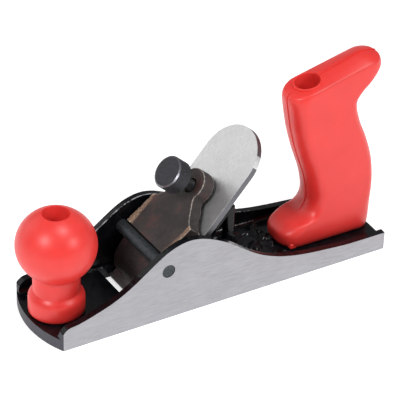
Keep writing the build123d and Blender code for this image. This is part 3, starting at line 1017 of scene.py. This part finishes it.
well_depth = (WELL_TOP.z / MM - GRIP_WELL_FLOOR_Z) / math.cos(LEAN)
through_the_foot = WELL_TOP.z / MM * 1.1
bored(grip, "UNION", MOUTH_BOSS_RADIUS, -BOSS_ROOT, MOUTH_BOSS_HEIGHT)
bored(grip, "DIFFERENCE", GRIP_WELL_RADIUS, -well_depth, PAST_THE_MOUTH)
bored(grip, "DIFFERENCE", SHAFT_RADIUS, -through_the_foot, 0)
start_edit(grip, "EDGE")
from_well = down_the_well.inverted()


def on_mouth(edge):
    """Edges of the two circles round the top of the boss."""
    ends = [from_well @ vertex.co for vertex in edge.verts]
    return all(
        abs(end.z - MOUTH_BOSS_HEIGHT * MM) < 0.02 * MM
        and min(abs(end.xy.length - r * MM) for r in (GRIP_WELL_RADIUS, MOUTH_BOSS_RADIUS))
        < 0.02 * MM
        for end in ends
    )


print("mouth edges:", pick_edges(grip, on_mouth))
bpy.ops.mesh.bevel(offset=RIM_ROUND * MM, segments=2)
end_edit()

# %% Foot lug and mould seam
bpy.ops.mesh.primitive_cube_add(size=1, location=LUG_MIDDLE, scale=LUG_SIZE)
lug = named("lug")
apply_modifier(lug, "BEVEL", width=0.5 * MM, segments=3)
apply_modifier(grip, "BOOLEAN", operation="UNION", object=lug, solver="EXACT")
bpy.data.objects.remove(lug)
for side in (-1, 1):
    start_edit(grip, "FACE")
    bpy.ops.mesh.select_all(action="SELECT")
    bpy.ops.mesh.bisect(
        plane_co=(0, side * SEAM_HALF_WIDTH * MM, 0), plane_no=(0, 1, 0), threshold=CUT_WITHIN
    )
    end_edit()
start_edit(grip, "FACE")


def on_seam(middle, normal):
    """Faces of the outside, on the middle line of the front and of the top."""
    clear_of_well = (from_well @ middle).xy.length > SEAM_CLEAR * MM
    front = normal.x < -0.6 and middle.z > SEAM_FRONT_FROM_Z * MM
    top = normal.z > 0.75 and middle.z > SEAM_TOP_FROM_Z * MM
    return abs(middle.y) < SEAM_HALF_WIDTH * MM and clear_of_well and (front or top)


print("seam faces:", pick_faces(grip, on_seam))
bpy.ops.mesh.extrude_region_shrink_fatten(
    TRANSFORM_OT_shrink_fatten={"value": SEAM_HEIGHT * MM}
)
end_edit()
closed_and_smooth(grip, 32)
hand_over(grip, "body", "red_plastic", RED_PLASTIC, "rear_handle")

# %% [markdown]
# ## The lever cap
# The cap is a rough sand casting that was never machined, so nothing on it is flat or sharp. Its
# skin is rebuilt as small even cells, which rounds every corner, and a cloud texture then pushes
# the surface in and out by up to about a tenth of a millimetre, as grains of sand do.

# %% Lever cap
CELL = 0.42
SAND_GRAIN = 1.6
SAND_DEPTH = 0.24
cap = merged_copy("lever_cap", "lever_cap_casting")
apply_modifier(cap, "REMESH", mode="VOXEL", voxel_size=CELL * MM, adaptivity=0.0)
apply_modifier(cap, "SMOOTH", factor=0.5, iterations=2)
sand = bpy.data.textures.new("sand", "CLOUDS")
sand.noise_scale = SAND_GRAIN * MM
sand.noise_depth = 2
apply_modifier(
    cap, "DISPLACE", texture=sand, texture_coords="GLOBAL", strength=SAND_DEPTH * MM,
    mid_level=0.62,
)
closed_and_smooth(cap, 60)
hand_over(cap, "cap", "cap_casting", BROWN_IRON, "lever_cap")

# %% [markdown]
# ## The blade
# The blade is strip steel, linished on its faces. Its long edges get a darker steel, partly for
# their ground finish and partly as painted shade on these side faces. Only the round end was left
# as it was sheared, so it keeps the dark scale of rolled steel. Its corners are broken by a hair.

# %% Blade
SCALE_STEEL = mottled("rolled_scale_on_steel", "4a3f42", "6d6164", 0.6, 0.5, 0.6)
SHADED_EDGE_STEEL = streaked_steel("blade_edge_steel_painted_shade", "606064", "7c7c81", 7, 0.5, 0.5, BED_ANGLE)
BLADE_EDGE_ROUND = 0.18
blade = eased_copy("cutting_iron", "blade", BLADE_EDGE_ROUND, 2, 40)
apply_modifier(blade, "WEIGHTED_NORMAL", keep_sharp=True)
blade.data.materials.append(BLADE_STEEL)
start_edit(blade, "FACE")


def on_round_end(middle, normal):
    """The faces round the top end, which look up the bed."""
    return normal.dot(UP_BED) > 0.6 and abs(normal.dot(OUT_OF_BED)) < 0.4


finish_faces(blade, SCALE_STEEL, on_round_end)
# the long side edges: darker steel, partly ground finish and partly painted shade
finish_faces(blade, SHADED_EDGE_STEEL, lambda middle, normal: abs(normal.y) > 0.96)
end_edit()
hand_over(blade, "blade", "blade_steel", BLADE_STEEL, "cutting_iron")

# %% [markdown]
# ## Thumbscrew and cross pin
# The thumbscrew is turned and blackened: a thick disc with a straight knurl and a threaded stud.
# The thread is a real helix: the stud is divided finely, and the vertices that lie on the
# groove's spiral are drawn in towards the axis. The pin is plain bar, and its cropped ends are a
# little rough.

# %% Thumbscrew head
HEAD_FROM = 17.6
HEAD_TO = 25.5
HEAD_RADIUS = 7.8
CHAMFER = 0.4
KNURL_RIDGES = 60
KNURL_HEIGHT = 0.14
END_CHAMFER = 0.7
END_FLAT = 5.5
body_of_head = HEAD_TO - HEAD_FROM - 2 * CHAMFER
bpy.ops.mesh.primitive_cylinder_add(
    vertices=2 * KNURL_RIDGES, radius=(HEAD_RADIUS - KNURL_HEIGHT) * MM,
    depth=body_of_head * MM, location=(0, 0, (HEAD_FROM + HEAD_TO) / 2 * MM),
)
thumbscrew = named("thumbscrew_black")
start_edit(thumbscrew, "FACE")
pick_faces(thumbscrew, lambda middle, normal: abs(normal.z) > 0.9)
bpy.ops.mesh.inset(thickness=END_CHAMFER * MM, depth=CHAMFER * MM)
bpy.ops.mesh.inset(thickness=END_FLAT * MM)


def on_ridge(middle, normal):
    """Every second face round the side."""
    place_round = math.atan2(middle.y, middle.x) / math.tau * 2 * KNURL_RIDGES
    return abs(normal.z) < 0.1 and round(place_round - 0.5) % 2 == 0


print("knurl ridges:", pick_faces(thumbscrew, on_ridge))
bpy.ops.mesh.inset(thickness=0.06 * MM, depth=KNURL_HEIGHT * MM, use_individual=True)
thumbscrew.data.materials.append(BLACK_OXIDE)


def on_rim(middle, normal):
    """The turned chamfer round the outer end."""
    return 0.3 < normal.z < 0.95 and middle.z > (HEAD_TO - 2 * CHAMFER) * MM


# The chamfer is lighter than the head, partly as worn oxide and partly as a painted highlight, the
# thin line of light a turned chamfer catches.
finish_faces(thumbscrew, WORN_OXIDE_AND_HIGHLIGHT, on_rim)
end_edit()

# %% Thumbscrew stud
PITCH = 1.0
STUD_RADIUS = 2.95
STUD_FOOT = 0.1
INTO_HEAD = 0.5
POINT_SHARE = 0.78
bpy.ops.mesh.primitive_cylinder_add(
    vertices=48, radius=STUD_RADIUS * MM, depth=(HEAD_FROM + INTO_HEAD - STUD_FOOT) * MM,
    location=(0, 0, (HEAD_FROM + INTO_HEAD + STUD_FOOT) / 2 * MM),
)
stud = named("stud")
start_edit(stud, "EDGE")
pick_edges(stud, lambda edge: abs(edge.verts[0].co.z - edge.verts[1].co.z) > 5 * MM)
bpy.ops.mesh.subdivide(number_cuts=100)


def in_groove(co, half_share):
    """True where the helix's groove runs, to this share of the pitch each side."""
    phase = (co.z / MM / PITCH - math.atan2(co.y, co.x) / math.tau) % 1
    return abs(phase - 0.5) < half_share and co.z > (STUD_FOOT + 0.2) * MM


bpy.ops.mesh.select_mode(type="VERT")
for half_share, factor in ((0.36, 0.965), (0.18, 0.94)):
    print("groove:", pick_vertices(stud, lambda co: in_groove(co, half_share)))
    bpy.ops.transform.resize(value=(factor, factor, 1), center_override=(0, 0, 0))
pick_vertices(stud, lambda co: co.z < (STUD_FOOT + 0.1) * MM)
bpy.ops.transform.resize(value=(POINT_SHARE, POINT_SHARE, 1), center_override=(0, 0, 0))
end_edit()
# The stud's near-black colour is painted shade for the shadow under the head.
stud.data.materials.append(SHADED_THREAD)
only(thumbscrew)
stud.select_set(True)
bpy.ops.object.join()
place(thumbscrew, bed_matrix(SCREW_FOOT))
only(thumbscrew)
bpy.ops.object.shade_smooth_by_angle(angle=math.radians(25))
hand_over(thumbscrew, "screw", "blackened_steel", BLACK_OXIDE, "thumbscrew")

# %% Cross pin
PIN_CROP = 0.15
CROPPED_END = ((0.25, PIN_CROP), (0.7, 0.0), (0.8, -0.1), (0.7, 0.05))
pin_radius = (pin_high.x - pin_low.x) / 2
bpy.ops.mesh.primitive_cylinder_add(
    vertices=64, radius=pin_radius, depth=pin_high.y - pin_low.y - 2 * PIN_CROP * MM,
    location=PIN_CENTRE, rotation=(math.radians(90), 0, 0),
)
pin = named("cross_pin_bar")
start_edit(pin, "FACE")
pick_faces(pin, lambda middle, normal: abs(normal.y) > 0.9)
for thickness, depth in CROPPED_END:
    bpy.ops.mesh.inset(thickness=thickness * MM, depth=depth * MM)
bpy.ops.mesh.poke()
bpy.ops.mesh.select_mode(type="VERT")
pick_vertices(
    pin,
    lambda co: math.hypot(co.x - PIN_CENTRE.x, co.z - PIN_CENTRE.z) < pin_radius - 0.8 * MM,
)
bpy.ops.transform.vertex_random(offset=0.07 * MM, seed=5)
end_edit()
closed_and_smooth(pin, 30)
hand_over(pin, "body", "blackened_steel", PIN_STEEL, "cross_pin")

# %% [markdown]
# ## Screws in the wells
# Two slotted cheese-head screws hold the grips down, each on a plain washer. They sit deep in
# their wells, so the engineering shape is enough once its corners are eased.

# %% Screws and washers
FASTENER_EDGE_ROUND = 0.12
for node in ("knob_screw", "handle_screw", "knob_washer", "handle_washer"):
    fastener = eased_copy(node, node + "_plated", FASTENER_EDGE_ROUND, 2, 40)
    hand_over(fastener, "body", "screw_steel", ZINC, node)
